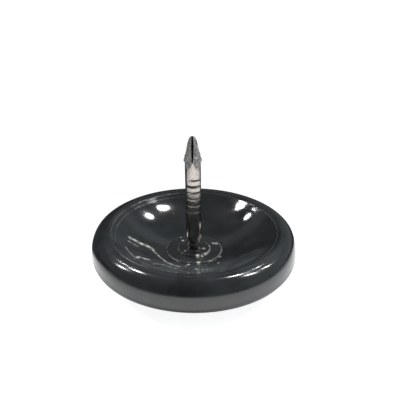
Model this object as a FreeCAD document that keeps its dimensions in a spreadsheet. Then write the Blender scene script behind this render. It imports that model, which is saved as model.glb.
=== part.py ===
import FreeCAD, Part
import Sketcher
import math
import os

# Driving dimensions of the glide, in millimetres
# The felt rests on the floor at height 0 and the nail points straight up
SIZES = {
    # Moulded body: a round bead of a rim about a dished top
    "glide_diameter": 28.0,
    "body_height": 4.8,
    "crown_radius": 2.1,
    "shoulder_radius": 1.5,
    "dish_lip_radius": 1.2,
    "dish_depth": 3.77,
    # Two low steps round the nail, at the bottom of the dish
    "boss_diameter": 7.7,
    "boss_height": 0.16,
    "collar_diameter": 4.5,
    "collar_height": 0.18,
    "boss_edge_radius": 0.1,
    # Underside: a lip round a shallow recess whose floor swells towards the middle
    "lip_width": 2.2,
    "lip_edge_radius": 0.3,
    "recess_depth": 0.8,
    "dome_drop": 1.2,
    # Felt pad: glued to the swelling, it stands proud of the lip and is flat where it slides
    "felt_proud": 2.0,
    "felt_clearance": 0.1,
    "glue_line": 0.05,
    "felt_edge_width": 3.7,
    "felt_edge_drop": 0.1,
    # Wire nail: its head sits in the underside and its shank comes up through the dish
    "nail_length": 18.5,
    "shank_diameter": 2.1,
    "head_diameter": 5.5,
    "head_thickness": 0.8,
    "head_sink": 0.15,
    # Pinched point with four facets, and a slit down two of its ridges
    "tip_width": 0.4,
    "point_length": 4.8,
    "slit_width": 0.3,
    "slit_core": 0.2,
    "slit_length": 3.3,
    # Ring marks that the gripper dies leave below the point, and a few where the shank leaves the dish
    "ring_count": 5,
    "ring_start": 6.78,
    "ring_width": 0.36,
    "root_ring_count": 2,
    "root_ring_width": 0.56,
    "ring_pitch": 0.93,
    "ring_depth": 0.08,
}

# Radii and heights worked out from the driving dimensions
# Each is written once here, and every sketch takes its corners from these names
LEVELS = {
    # The bead of the rim
    "glide_radius": "Sizes.glide_diameter / 2",
    "lip_plane": "Sizes.felt_proud",
    "crest": "Levels.lip_plane + Sizes.body_height",
    "crest_radius": "Levels.glide_radius - Sizes.crown_radius",
    "crown_foot": "Levels.crest - Sizes.crown_radius",
    "shoulder_top": "Levels.lip_plane + Sizes.shoulder_radius",
    "shoulder_foot": "Levels.glide_radius - Sizes.shoulder_radius",
    # The dish: a ball-shaped hollow that runs smoothly into the rounded inner edge of the bead
    "dish_low": "Levels.crest - Sizes.dish_depth",
    "bowl_radius": "(Levels.crest_radius ^ 2 + Sizes.dish_depth ^ 2) / (2 * Sizes.dish_depth)"
                   " - Sizes.dish_lip_radius",
    "bowl_share": "Levels.bowl_radius / (Levels.bowl_radius + Sizes.dish_lip_radius)",
    "bowl_centre": "Levels.dish_low + Levels.bowl_radius",
    "crease_radius": "Levels.crest_radius * Levels.bowl_share",
    "crease": "Levels.bowl_centre - Levels.bowl_share"
              " * (Levels.bowl_centre - Levels.crest + Sizes.dish_lip_radius)",
    # The steps round the nail
    "boss_radius": "Sizes.boss_diameter / 2",
    "boss_foot": "Levels.bowl_centre - sqrt(Levels.bowl_radius ^ 2 - Levels.boss_radius ^ 2)",
    "boss_top": "Levels.boss_foot + Sizes.boss_height",
    "collar_radius": "Sizes.collar_diameter / 2",
    "collar_top": "Levels.boss_top + Sizes.collar_height",
    # The recess and its swelling floor
    "recess_radius": "Levels.glide_radius - Sizes.lip_width",
    "recess_top": "Levels.lip_plane + Sizes.recess_depth",
    "lip_edge_foot": "Levels.recess_radius + Sizes.lip_edge_radius",
    "lip_edge_top": "Levels.lip_plane + Sizes.lip_edge_radius",
    "dome_low": "Levels.recess_top - Sizes.dome_drop",
    "dome_radius": "(Levels.recess_radius ^ 2 + Sizes.dome_drop ^ 2) / (2 * Sizes.dome_drop)",
    "dome_centre": "Levels.dome_low + Levels.dome_radius",
    # The nail from its head to its tip
    "shank_radius": "Sizes.shank_diameter / 2",
    "head_radius": "Sizes.head_diameter / 2",
    "head_base": "Levels.dome_low + Sizes.head_sink",
    "head_top": "Levels.head_base + Sizes.head_thickness",
    "head_mouth": "Levels.dome_centre - sqrt(Levels.dome_radius ^ 2 - Levels.head_radius ^ 2)",
    "tip": "Levels.head_base + Sizes.nail_length",
    # Cuts in the nail reach outwards past the shank
    "cut_radius": "Sizes.shank_diameter",
    "tip_half": "Sizes.tip_width / 2",
    "point_foot": "Levels.tip - Sizes.point_length",
    "slit_half": "Sizes.slit_core / 2",
    "slit_foot": "Levels.tip - Sizes.slit_length",
    "ring_mouth": "Levels.shank_radius + Sizes.ring_depth",
    # The felt between the swelling and the floor
    "felt_radius": "Levels.recess_radius - Sizes.felt_clearance",
    "felt_bed_radius": "Levels.dome_radius + Sizes.glue_line",
    "felt_bed_low": "Levels.dome_low - Sizes.glue_line",
    "felt_wall_top": "Levels.dome_centre - sqrt(Levels.felt_bed_radius ^ 2 - Levels.felt_radius ^ 2)",
    "felt_wall_foot": "Levels.lip_plane - Sizes.felt_edge_drop",
    "felt_flat_radius": "Levels.felt_radius - Sizes.felt_edge_width",
    "felt_edge_radius": "(Sizes.felt_edge_width ^ 2 + Levels.felt_wall_foot ^ 2)"
                        " / (2 * Levels.felt_wall_foot)",
}

# Ring marks are round-bottomed: middle height of each group's first mark, and how wide a mark is on the shank
# The cut's outline goes on past the shank, as far out as the mark is deep
RING_GROUPS = {
    "point_ring": ("Levels.tip - Sizes.ring_start", "Sizes.ring_width"),
    "root_ring": ("Levels.collar_top + Sizes.root_ring_width / 2", "Sizes.root_ring_width"),
}
for group, (middle, width) in RING_GROUPS.items():
    bend = "Levels.%s_bend" % group
    half_mouth = "2 * sqrt(Sizes.ring_depth * (%s - Sizes.ring_depth))" % bend
    LEVELS[group + "_bend"] = "(%s ^ 2 / 4 + Sizes.ring_depth ^ 2) / (2 * Sizes.ring_depth)" % width
    LEVELS[group + "_low"] = "%s - %s" % (middle, half_mouth)
    LEVELS[group + "_high"] = "%s + %s" % (middle, half_mouth)

# Sections, one corner after another as (radius, height)
# A corner may also give the arc that leads from it to the next one: its radius and which way it turns
BODY_SECTION = [
    ("shank_radius", "head_top"),
    ("shank_radius", "collar_top"),
    ("collar_radius", "collar_top"),
    ("collar_radius", "boss_top"),
    ("boss_radius", "boss_top"),
    ("boss_radius", "boss_foot", "Levels.bowl_radius", "left"),
    ("crease_radius", "crease", "Sizes.dish_lip_radius", "right"),
    ("crest_radius", "crest", "Sizes.crown_radius", "right"),
    ("glide_radius", "crown_foot"),
    ("glide_radius", "shoulder_top", "Sizes.shoulder_radius", "right"),
    ("shoulder_foot", "lip_plane"),
    ("lip_edge_foot", "lip_plane", "Sizes.lip_edge_radius", "right"),
    ("recess_radius", "lip_edge_top"),
    ("recess_radius", "recess_top", "Levels.dome_radius", "right"),
    ("head_radius", "head_mouth"),
    ("head_radius", "head_top"),
]
FELT_SECTION = [
    ("axis", "floor"),
    ("axis", "felt_bed_low", "Levels.felt_bed_radius", "left"),
    ("felt_radius", "felt_wall_top"),
    ("felt_radius", "felt_wall_foot", "Levels.felt_edge_radius", "right"),
    ("felt_flat_radius", "floor"),
]
NAIL_SECTION = [
    ("axis", "head_base"),
    ("axis", "tip"),
    ("shank_radius", "tip"),
    ("shank_radius", "head_top"),
    ("head_radius", "head_top"),
    ("head_radius", "head_base"),
]
FACET_CUT = [
    ("shank_radius", "point_foot"),
    ("tip_half", "tip"),
    ("cut_radius", "tip"),
    ("cut_radius", "point_foot"),
]
SLIT_CUT = [
    ("shank_radius", "slit_foot"),
    ("slit_half", "tip"),
    ("cut_radius", "tip"),
    ("cut_radius", "slit_foot"),
]

# The nail's four facets face between the main directions, so that two ridges face front and back
FACET_COUNT = 4
FACET_TURN = 45.0
SLIT_COUNT = 2
FULL_TURN = 360.0

document = FreeCAD.newDocument("nail_on_glide")

sheet = document.addObject("Spreadsheet::Sheet", "Sizes")
for row, (alias, number) in enumerate(SIZES.items(), start=1):
    sheet.set("A%d" % row, alias)
    sheet.set("B%d" % row, str(number))
    sheet.setAlias("B%d" % row, alias)

levels = document.addObject("App::VarSet", "Levels")
for name, formula in LEVELS.items():
    levels.addProperty("App::PropertyFloat", name)
    levels.setExpression(name, formula)
document.recompute()


def value(expression):
    """The number behind a name such as Sizes.crown_radius or Levels.crest."""
    holder, name = expression.split(".")
    return float(getattr(document.getObject(holder), name))


def coordinate(name):
    return 0.0 if name in ("axis", "floor") else value("Levels." + name)


def new_body(label):
    body = document.addObject("PartDesign::Body", label)
    body.Label = label
    return body


def origin_feature(body, role):
    return next(item for item in body.Origin.OriginFeatures if item.Role == role)


def tie(sketch, edge, end, name, direction, axis):
    """Bind one coordinate of an edge's end to its level, or put the end on the axis or the floor."""
    if name in ("axis", "floor"):
        sketch.addConstraint(Sketcher.Constraint("PointOnObject", edge, end, axis))
        return
    constraint = Sketcher.Constraint(direction, -1, 1, edge, end, coordinate(name))
    index = sketch.addConstraint(constraint)
    sketch.setExpression("Constraints[%d]" % index, "Levels." + name)


def add_arc(sketch, start, finish, radius, turn):
    """The shorter arc of that radius from start to finish; returns the edge with its first and last end."""
    size = value(radius)
    chord = finish - start
    side = 1.0 if turn == "left" else -1.0
    reach = math.sqrt(size ** 2 - (chord.Length / 2) ** 2) / chord.Length
    centre = (start + finish) / 2 + FreeCAD.Vector(-chord.y, chord.x, 0) * side * reach
    ends = [start, finish] if turn == "left" else [finish, start]
    angles = [math.atan2((end - centre).y, (end - centre).x) for end in ends]
    circle = Part.Circle(centre, FreeCAD.Vector(0, 0, 1), size)
    edge = sketch.addGeometry(Part.ArcOfCircle(circle, *angles))
    index = sketch.addConstraint(Sketcher.Constraint("Radius", edge, size))
    sketch.setExpression("Constraints[%d]" % index, radius)
    return (edge, 1, 2) if turn == "left" else (edge, 2, 1)


def draw(body, name, corners, plane="XZ_Plane", turn=0.0):
    """A closed sketch on an upright plane of the body, turned about the vertical, through named corners."""
    sketch = body.newObject("Sketcher::SketchObject", name)
    sketch.AttachmentSupport = [(origin_feature(body, plane), "")]
    sketch.MapMode = "FlatFace"
    spin = FreeCAD.Rotation(FreeCAD.Vector(0, 1, 0), turn)
    sketch.AttachmentOffset = FreeCAD.Placement(FreeCAD.Vector(), spin)

    places = [FreeCAD.Vector(coordinate(across), coordinate(up), 0) for across, up, *_ in corners]
    edges = []
    for start, finish, (_, _, *bend) in zip(places, places[1:] + places[:1], corners):
        if bend:
            edges.append(add_arc(sketch, start, finish, *bend))
        else:
            edges.append((sketch.addGeometry(Part.LineSegment(start, finish)), 1, 2))

    for index, (edge, first, _) in enumerate(edges):
        before, _, last = edges[index - 1]
        sketch.addConstraint(Sketcher.Constraint("Coincident", before, last, edge, first))
        across, up, *_ = corners[index]
        tie(sketch, edge, first, across, "DistanceX", -2)
        tie(sketch, edge, first, up, "DistanceY", -1)
    document.recompute()
    return sketch


def spin_up(body, kind, name, sketch):
    """A Revolution or Groove of a sketch, all the way round the vertical axis."""
    feature = body.newObject("PartDesign::" + kind, name)
    feature.Profile = sketch
    feature.ReferenceAxis = (sketch, ["V_Axis"])
    feature.Angle = FULL_TURN
    document.recompute()
    return feature


def cut_across(body, name, sketch, width):
    """A pocket that reaches the same way to both sides of its sketch."""
    pocket = body.newObject("PartDesign::Pocket", name)
    pocket.Profile = sketch
    pocket.SideType = "Symmetric"
    pocket.setExpression("Length", width)
    document.recompute()
    return pocket


def repeat_round(body, name, feature, count):
    pattern = body.newObject("PartDesign::PolarPattern", name)
    pattern.Originals = [feature]
    pattern.Axis = (origin_feature(body, "Z_Axis"), [""])
    pattern.Angle = FULL_TURN
    pattern.Occurrences = count
    body.Tip = pattern
    document.recompute()
    return pattern


def mark_rings(body, group, count, downwards):
    """A row of ring marks round the shank, from the group's first mark up or down."""
    corners = [
        ("ring_mouth", group + "_low", "Levels.%s_bend" % group, "right"),
        ("ring_mouth", group + "_high"),
        ("cut_radius", group + "_high"),
        ("cut_radius", group + "_low"),
    ]
    mark = spin_up(body, "Groove", group, draw(body, group + "_outline", corners))
    row = body.newObject("PartDesign::LinearPattern", group + "_row")
    row.Originals = [mark]
    row.Direction = (origin_feature(body, "Z_Axis"), [""])
    row.Reversed = downwards
    row.setExpression("Length", "Sizes.ring_pitch * (%s - 1)" % count)
    row.setExpression("Occurrences", count)
    body.Tip = row
    document.recompute()
    return row


def ring_edge(shape, radius, height):
    """Name of the round edge with that radius at that height."""
    for index, edge in enumerate(shape.Edges, start=1):
        if isinstance(edge.Curve, Part.Circle):
            if abs(edge.Curve.Radius - radius) < 1e-4 and abs(edge.Curve.Center.z - height) < 1e-4:
                return "Edge%d" % index
    raise ValueError("no round edge of radius %.3f at height %.3f" % (radius, height))


def make_body():
    """The moulded body: its whole section turned about the nail, with the steps' edges rounded."""
    body = new_body("glide_body")
    turned = spin_up(body, "Revolution", "turned_body", draw(body, "body_section", BODY_SECTION))
    steps = [("collar_radius", "collar_top"), ("boss_radius", "boss_top")]
    edges = [ring_edge(turned.Shape, coordinate(across), coordinate(up)) for across, up in steps]
    fillet = body.newObject("PartDesign::Fillet", "step_edges")
    fillet.Base = (turned, edges)
    limits = "min(Sizes.boss_edge_radius; Sizes.boss_height * 0.9; Sizes.collar_height * 0.9)"
    fillet.setExpression("Radius", limits)
    body.Tip = fillet
    return body


def make_felt():
    """The felt pad: hollowed on top to fit the swelling, flat below, with a full round edge."""
    body = new_body("felt_pad")
    spin_up(body, "Revolution", "turned_felt", draw(body, "felt_section", FELT_SECTION))
    return body


def make_nail():
    """The nail: head and shank turned as one, then the point pinched, slit and ring-marked."""
    body = new_body("nail")
    spin_up(body, "Revolution", "turned_nail", draw(body, "nail_section", NAIL_SECTION))

    facet_sketch = draw(body, "facet_outline", FACET_CUT, turn=FACET_TURN)
    facet = cut_across(body, "facet", facet_sketch, "2 * Sizes.shank_diameter")
    repeat_round(body, "facets", facet, FACET_COUNT)

    slit_sketch = draw(body, "slit_outline", SLIT_CUT, plane="YZ_Plane")
    slit = cut_across(body, "slit", slit_sketch, "Sizes.slit_width")
    repeat_round(body, "slits", slit, SLIT_COUNT)

    mark_rings(body, "point_ring", "Sizes.ring_count", downwards=True)
    mark_rings(body, "root_ring", "Sizes.root_ring_count", downwards=False)
    return body


pieces = [make_body(), make_felt(), make_nail()]
document.recompute()

for item in document.Objects:
    if "Invalid" in item.State or "Error" in item.State:
        raise RuntimeError("%s did not build" % item.Label)
for piece in pieces:
    if piece.Shape.isNull() or not piece.Shape.isValid():
        raise RuntimeError("%s has no sound shape" % piece.Label)

os.makedirs("parts", exist_ok=True)
for piece in pieces:
    piece.Shape.exportStep("parts/%s.step" % piece.Label)
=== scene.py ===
# %% [markdown]
# # A nail-on furniture glide
# The glide is three pieces: a moulded black body with a bead round a dish, a wire nail that stands
# up from the dish, and a felt pad glued under it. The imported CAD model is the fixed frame. Each piece
# here replaces the CAD solid of the same form, because gloss shows every flat of a coarse mesh, and
# felt is fibres rather than a solid. Sizes of the glide are in millimetres, in the CAD model's frame.

# %% Load the frame
import math
import bpy
import numpy as np
from mathutils import Matrix, Vector


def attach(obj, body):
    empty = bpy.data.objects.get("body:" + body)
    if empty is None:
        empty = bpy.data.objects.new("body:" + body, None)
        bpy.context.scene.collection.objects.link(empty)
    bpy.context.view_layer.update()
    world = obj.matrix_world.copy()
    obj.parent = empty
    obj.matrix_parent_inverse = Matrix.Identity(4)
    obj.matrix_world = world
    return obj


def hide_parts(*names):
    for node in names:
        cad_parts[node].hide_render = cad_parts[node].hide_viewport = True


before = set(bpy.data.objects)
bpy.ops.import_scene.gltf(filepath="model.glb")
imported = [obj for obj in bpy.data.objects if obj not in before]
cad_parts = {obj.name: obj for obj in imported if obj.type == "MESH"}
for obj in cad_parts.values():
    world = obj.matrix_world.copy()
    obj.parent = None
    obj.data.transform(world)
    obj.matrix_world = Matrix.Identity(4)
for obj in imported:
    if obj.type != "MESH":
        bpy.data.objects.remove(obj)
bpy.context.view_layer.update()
MM = 0.001
print("the frame holds", len(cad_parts), "CAD nodes")

# %% [markdown]
# ## Small helpers
# A colour is written as sRGB hex, the way a paint chart gives it, and turned to the linear values
# that shaders use. One function adds a node, sets what it is given, and links what it is handed as a
# socket. Another makes a mesh object from plain arrays and lets it ride on the part.


# %% Helpers for colours and nodes
def linear(code):
    """An sRGB hex colour as linear red, green, blue and alpha, by the sRGB standard's own curve."""
    shares = [int(code[i:i + 2], 16) / 255 for i in (1, 3, 5)]
    return [s / 12.92 if s <= 0.04045 else ((s + 0.055) / 1.055) ** 2.4 for s in shares] + [1.0]


def add(tree, kind, inputs=None, **settings):
    """A new node with its settings; each input is set, or linked where a socket is given."""
    node = tree.nodes.new(kind)
    for name, choice in settings.items():
        setattr(node, name, choice)
    for name, given in (inputs or {}).items():
        if isinstance(given, bpy.types.NodeSocket):
            tree.links.new(given, node.inputs[name])
        else:
            node.inputs[name].default_value = given
    return node


def new_material(name):
    """An empty material and its node tree."""
    material = bpy.data.materials.new(name)
    material.use_nodes = True
    material.node_tree.nodes.clear()
    return material, material.node_tree


print("the sRGB grey #808080 is", round(linear("#808080")[0], 3), "in linear light")


# %% Helpers for mesh pieces
def new_piece(name, points, faces, material, node):
    """A smooth mesh, given in millimetres, that stands for a CAD node and rides on the part."""
    mesh = bpy.data.meshes.new(name)
    mesh.from_pydata((np.asarray(points) * MM).tolist(), [], [tuple(face) for face in faces])
    mesh.validate()
    mesh.shade_smooth()
    mesh.materials.append(material)
    piece = bpy.data.objects.new(name, mesh)
    bpy.context.scene.collection.objects.link(piece)
    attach(piece, "root")
    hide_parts(node)
    print(name, "has", len(mesh.vertices), "points")
    return piece


def set_values(piece, name, values):
    """One number for each point of a piece, for its material to read."""
    attribute = piece.data.attributes.new(name, "FLOAT", "POINT")
    attribute.data.foreach_set("value", np.asarray(values, np.float32).ravel())


print("each piece rides on the body called root")


# %% Helpers for grids of points
def quad_grid(rows, columns, closed_rows=False):
    """Faces of a grid of points whose columns run round and close; the rows may close too."""
    row = np.arange(rows if closed_rows else rows - 1)[:, None]
    column = np.arange(columns)[None, :]
    above, after = (row + 1) % rows, (column + 1) % columns
    corners = [row * columns + column, row * columns + after,
               above * columns + after, above * columns + column]
    return np.stack([np.broadcast_to(c, (len(row), columns)) for c in corners], axis=-1).reshape(-1, 4)


def capped_grid(rows, columns):
    """Faces of a grid whose columns run round, with one face to close its first and last row each."""
    last_row = (rows - 1) * columns
    faces = [tuple(face) for face in quad_grid(rows, columns)]
    faces.append(tuple(range(columns))[::-1])
    faces.append(tuple(range(last_row, last_row + columns)))
    return faces


print("a capped grid of 3 rows and 4 columns has", len(capped_grid(3, 4)), "faces")

# %% [markdown]
# ## Moulded black polypropylene
# The body is injection moulded in a polished steel mould, so it is a black plastic with a high gloss.
# What the eye gets is almost only reflections: small bright lamps, a pale floor low on the side, and
# dark between. The shader is therefore a very dark base with a low roughness. The lamps give most of
# the reflections, and the nodes add what breaks the perfect mirror; a grey film and pale marks in the
# colour also paint some sheen and highlights. Each layer has a cell of its own. The patterns are laid
# out in millimetres.

# %% Start the plastic's material
polypropylene, plastic = new_material("moulded_black_polypropylene")
plastic_place = add(plastic, "ShaderNodeTexCoord").outputs["Object"]
plastic_mm = add(plastic, "ShaderNodeVectorMath", {0: plastic_place, "Scale": 1 / MM},
                 operation="SCALE").outputs["Vector"]
level_mm = add(plastic, "ShaderNodeVectorMath", {0: plastic_mm, 1: (1, 1, 0)},
               operation="MULTIPLY").outputs["Vector"]
from_nail = add(plastic, "ShaderNodeVectorMath", {0: level_mm}, operation="LENGTH").outputs["Value"]
plastic_axes = add(plastic, "ShaderNodeSeparateXYZ", {"Vector": plastic_mm}).outputs
print("started", polypropylene.name)

# %% [markdown]
# ### Gloss
# Fresh plastic is as smooth as the steel that it lay against, with a roughness near 0.05. Fingers
# smear it in patches some millimetres wide. A glide is held by its bead, so the bead is duller, which
# spreads the lamps into soft streaks there. Two added numbers say this: noise, and a rise by radius.

# %% Smears on the gloss
SMEAR_SIZE = 5.0
SMEAR_RANGE = (0.35, 0.7)
POLISH = (0.045, 0.11)
HANDLED_BAND = (10.3, 11.5)
HANDLED_ROUGHNESS = 0.065
smear = add(plastic, "ShaderNodeTexNoise", {
    "Vector": plastic_mm, "Scale": 1 / SMEAR_SIZE, "Detail": 5.0}).outputs["Fac"]
polish = add(plastic, "ShaderNodeMapRange", {
    "Value": smear, "From Min": SMEAR_RANGE[0], "From Max": SMEAR_RANGE[1],
    "To Min": POLISH[0], "To Max": POLISH[1]}).outputs["Result"]
handled = add(plastic, "ShaderNodeMapRange", {
    "Value": from_nail, "From Min": HANDLED_BAND[0], "From Max": HANDLED_BAND[1],
    "To Max": HANDLED_ROUGHNESS}).outputs["Result"]
gloss = add(plastic, "ShaderNodeMath", {0: polish, 1: handled}, operation="ADD").outputs["Value"]
print("roughness from", POLISH[0], "in the dish to", round(POLISH[1] + HANDLED_ROUGHNESS, 3), "on the bead")

# %% [markdown]
# ### Dust, film and painted sheen
# Black gloss shows every speck. Dust lies on it as pale grains, made from the cells of a Voronoi
# pattern, of which only some are chosen. Real grains are a few hundredths of a millimetre wide, and
# are drawn coarser here, to show. Handling also leaves a thin grey film that lifts the black. The film
# is partly that and partly painted sheen: it is strongest at the front of the dish and weaker on the
# bead and its flank.

# %% Specks of dust
DUST_SPACING = 1.5
DUST_SIZE = 0.2
DUST_CHOICE = (0.8, 0.95)
speck_edge = DUST_SIZE / DUST_SPACING / 2
dust_cells = add(plastic, "ShaderNodeTexVoronoi", {"Vector": plastic_mm, "Scale": 1 / DUST_SPACING}).outputs
speck = add(plastic, "ShaderNodeMapRange", {
    "Value": dust_cells["Distance"], "From Min": speck_edge, "From Max": speck_edge / 2}).outputs["Result"]
cell_draw = add(plastic, "ShaderNodeSeparateColor", {"Color": dust_cells["Color"]}).outputs["Red"]
chosen = add(plastic, "ShaderNodeMapRange", {
    "Value": cell_draw, "From Min": DUST_CHOICE[0], "From Max": DUST_CHOICE[1]}).outputs["Result"]
dust = add(plastic, "ShaderNodeMath", {0: speck, 1: chosen}, operation="MULTIPLY").outputs["Value"]
print("dust in about one cell of", round(1 / (1 - DUST_CHOICE[0])))

# %% The film of handling, also painted sheen
FILM_SIZE = 2.5
FILM_RANGE = (0.1, 0.6)
DISH_FILM_REACH, DISH_FILM_AND_SHEEN = (-2.5, -7.0), (0.18, 1.0)
BEAD_FILM_REACH, BEAD_FILM_AND_SHEEN = (0.0, -7.0), (0.14, 0.3)
BEAD_START = (9.6, 10.8)
FLANK_START, FLANK_FILM_AND_SHEEN = (12.9, 13.6), 0.28
film_noise = add(plastic, "ShaderNodeTexNoise", {
    "Vector": plastic_mm, "Scale": 1 / FILM_SIZE, "Detail": 7.0}).outputs["Fac"]
# The film is strongest at the front of the dish; there it paints sheen as well as handling film.
dish_film_and_sheen = add(plastic, "ShaderNodeMapRange", {
    "Value": plastic_axes["Y"], "From Min": DISH_FILM_REACH[0], "From Max": DISH_FILM_REACH[1],
    "To Min": DISH_FILM_AND_SHEEN[0], "To Max": DISH_FILM_AND_SHEEN[1]}).outputs["Result"]
bead_film_and_sheen = add(plastic, "ShaderNodeMapRange", {
    "Value": plastic_axes["Y"], "From Min": BEAD_FILM_REACH[0], "From Max": BEAD_FILM_REACH[1],
    "To Min": BEAD_FILM_AND_SHEEN[0], "To Max": BEAD_FILM_AND_SHEEN[1]}).outputs["Result"]
top_film_and_sheen = add(plastic, "ShaderNodeMapRange", {
    "Value": from_nail, "From Min": BEAD_START[0], "From Max": BEAD_START[1],
    "To Min": dish_film_and_sheen, "To Max": bead_film_and_sheen}).outputs["Result"]
whole_film_and_sheen = add(plastic, "ShaderNodeMapRange", {
    "Value": from_nail, "From Min": FLANK_START[0], "From Max": FLANK_START[1],
    "To Min": top_film_and_sheen, "To Max": FLANK_FILM_AND_SHEEN}).outputs["Result"]
film_and_sheen = add(plastic, "ShaderNodeMapRange", {
    "Value": film_noise, "From Min": FILM_RANGE[0], "From Max": FILM_RANGE[1],
    "To Max": whole_film_and_sheen}).outputs["Result"]
print("film covers up to", DISH_FILM_AND_SHEEN[1], "at the front of the dish and", BEAD_FILM_AND_SHEEN[1], "on the bead")

# %% The plastic's colour and roughness
# The grey film also paints sheen, and the pale of the marks is partly wear and partly painted highlights
# and glints.
PLASTIC_BLACK, FILM_AND_SHEEN_GREY, DUST_GREY, WEAR_AND_HIGHLIGHT_PALE = "#0c0e10", "#4f5254", "#8d877c", "#f2f1ea"
WORN_ROUGHNESS = 0.2
film_and_sheen_colour = add(plastic, "ShaderNodeMix", {
    "Factor": film_and_sheen, "A": linear(PLASTIC_BLACK), "B": linear(FILM_AND_SHEEN_GREY)}, data_type="RGBA").outputs["Result"]
dusty = add(plastic, "ShaderNodeMix", {
    "Factor": dust, "A": film_and_sheen_colour, "B": linear(DUST_GREY)}, data_type="RGBA").outputs["Result"]
# Paleness for each point: wear, and painted highlights and glints.
wear_and_highlight = add(plastic, "ShaderNodeAttribute", attribute_name="wear_and_highlight").outputs["Fac"]
plastic_colour = add(plastic, "ShaderNodeMix", {
    "Factor": wear_and_highlight, "A": dusty, "B": linear(WEAR_AND_HIGHLIGHT_PALE)}, data_type="RGBA").outputs["Result"]
worn = add(plastic, "ShaderNodeMath", {0: dust, 1: wear_and_highlight}, operation="MAXIMUM").outputs["Value"]
plastic_rough = add(plastic, "ShaderNodeMath", {0: worn, 1: WORN_ROUGHNESS, 2: gloss},
                    operation="MULTIPLY_ADD").outputs["Value"]
print("the plastic goes from", PLASTIC_BLACK, "to", WEAR_AND_HIGHLIGHT_PALE, "where it is worn")

# %% [markdown]
# ### Marks of the mould
# A fine raised line runs round the dish where the mould's core meets its outer part. Beside it, at
# the far left and right, the lathe that cut the mould left faint turned lines. Real ones are a few
# hundredths of a millimetre apart; these are drawn coarser, to show. The steps round the nail are
# rubbed uneven. All three are far too fine for the mesh, so a bump carries them.

# %% The core line
CORE_RING_RADIUS, CORE_RING_WIDTH, CORE_RING_HEIGHT = 11.27, 0.07, 0.02
past_ring = add(plastic, "ShaderNodeMath", {0: from_nail, 1: CORE_RING_RADIUS},
                operation="SUBTRACT").outputs["Value"]
off_ring = add(plastic, "ShaderNodeMath", {0: past_ring}, operation="ABSOLUTE").outputs["Value"]
core_ring = add(plastic, "ShaderNodeMapRange", {
    "Value": off_ring, "From Min": CORE_RING_WIDTH, "From Max": 0.0, "To Max": CORE_RING_HEIGHT},
    interpolation_type="SMOOTHSTEP").outputs["Result"]
print("core line", CORE_RING_HEIGHT, "mm high at a radius of", CORE_RING_RADIUS, "mm")

# %% Turned lines at both sides
TURNED_BAND = (10.55, 11.25)
TURNED_FADES = (0.15, 0.1)
TURNED_LINE_SPACING, TURNED_LINE_HEIGHT = 0.16, 0.0016
TURNED_SIDE = math.radians(30)
TURNED_REACH = (math.radians(23), math.radians(29))
line_phase = add(plastic, "ShaderNodeMath", {0: from_nail, 1: 2 * math.pi / TURNED_LINE_SPACING},
                 operation="MULTIPLY").outputs["Value"]
line_wave = add(plastic, "ShaderNodeMath", {0: line_phase}, operation="SINE").outputs["Value"]
past_inner = add(plastic, "ShaderNodeMapRange", {
    "Value": from_nail, "From Min": TURNED_BAND[0], "From Max": TURNED_BAND[0] + TURNED_FADES[0],
    "To Max": TURNED_LINE_HEIGHT}).outputs["Result"]
in_band = add(plastic, "ShaderNodeMapRange", {
    "Value": from_nail, "From Min": TURNED_BAND[1], "From Max": TURNED_BAND[1] - TURNED_FADES[1],
    "To Max": past_inner}).outputs["Result"]
sideways = add(plastic, "ShaderNodeMath", {0: plastic_axes["X"]}, operation="ABSOLUTE").outputs["Value"]
side_turn = add(plastic, "ShaderNodeMath", {0: plastic_axes["Y"], 1: sideways},
                operation="ARCTAN2").outputs["Value"]
past_side = add(plastic, "ShaderNodeMath", {0: side_turn, 1: TURNED_SIDE},
                operation="SUBTRACT").outputs["Value"]
off_side = add(plastic, "ShaderNodeMath", {0: past_side}, operation="ABSOLUTE").outputs["Value"]
line_height = add(plastic, "ShaderNodeMapRange", {
    "Value": off_side, "From Min": TURNED_REACH[1], "From Max": TURNED_REACH[0],
    "To Max": in_band}).outputs["Result"]
turned = add(plastic, "ShaderNodeMath", {0: line_wave, 1: line_height, 2: core_ring},
             operation="MULTIPLY_ADD").outputs["Value"]
print("turned lines", TURNED_LINE_SPACING, "mm apart")

# %% Rubbed steps, and the finished plastic
STEP_RUB_RADIUS, STEP_RUB_FADE = 4.0, 0.4
STEP_RUB_SIZE, STEP_RUB_HEIGHT = 0.5, 0.1
# Polypropylene has an IOR of about 1.49; 1.58 matches the stronger reflections of this one.
PLASTIC_IOR = 1.58
step_rub = add(plastic, "ShaderNodeTexNoise", {
    "Vector": plastic_mm, "Scale": 1 / STEP_RUB_SIZE, "Detail": 2.0}).outputs["Fac"]
rub_height = add(plastic, "ShaderNodeMapRange", {
    "Value": from_nail, "From Min": STEP_RUB_RADIUS, "From Max": STEP_RUB_RADIUS - STEP_RUB_FADE,
    "To Max": STEP_RUB_HEIGHT}).outputs["Result"]
plastic_relief = add(plastic, "ShaderNodeMath", {0: step_rub, 1: rub_height, 2: turned},
                     operation="MULTIPLY_ADD").outputs["Value"]
plastic_bump = add(plastic, "ShaderNodeBump", {"Height": plastic_relief, "Distance": MM}).outputs["Normal"]
plastic_surface = add(plastic, "ShaderNodeBsdfPrincipled", {
    "Base Color": plastic_colour, "Roughness": plastic_rough, "Normal": plastic_bump, "IOR": PLASTIC_IOR})
add(plastic, "ShaderNodeOutputMaterial", {"Surface": plastic_surface.outputs["BSDF"]})
print("made", polypropylene.name, "of", len(plastic.nodes), "nodes")

# %% [markdown]
# ## The moulded body
# On the real glide one mould makes the bead, the dish, the two low steps round the nail, and the lip
# and recess below. It is round about the nail, so the section is drawn once and turned. The section
# repeats the CAD's own sizes in millimetres, and is sampled finely wherever it bends, because a gloss
# surface shows every facet.

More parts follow.
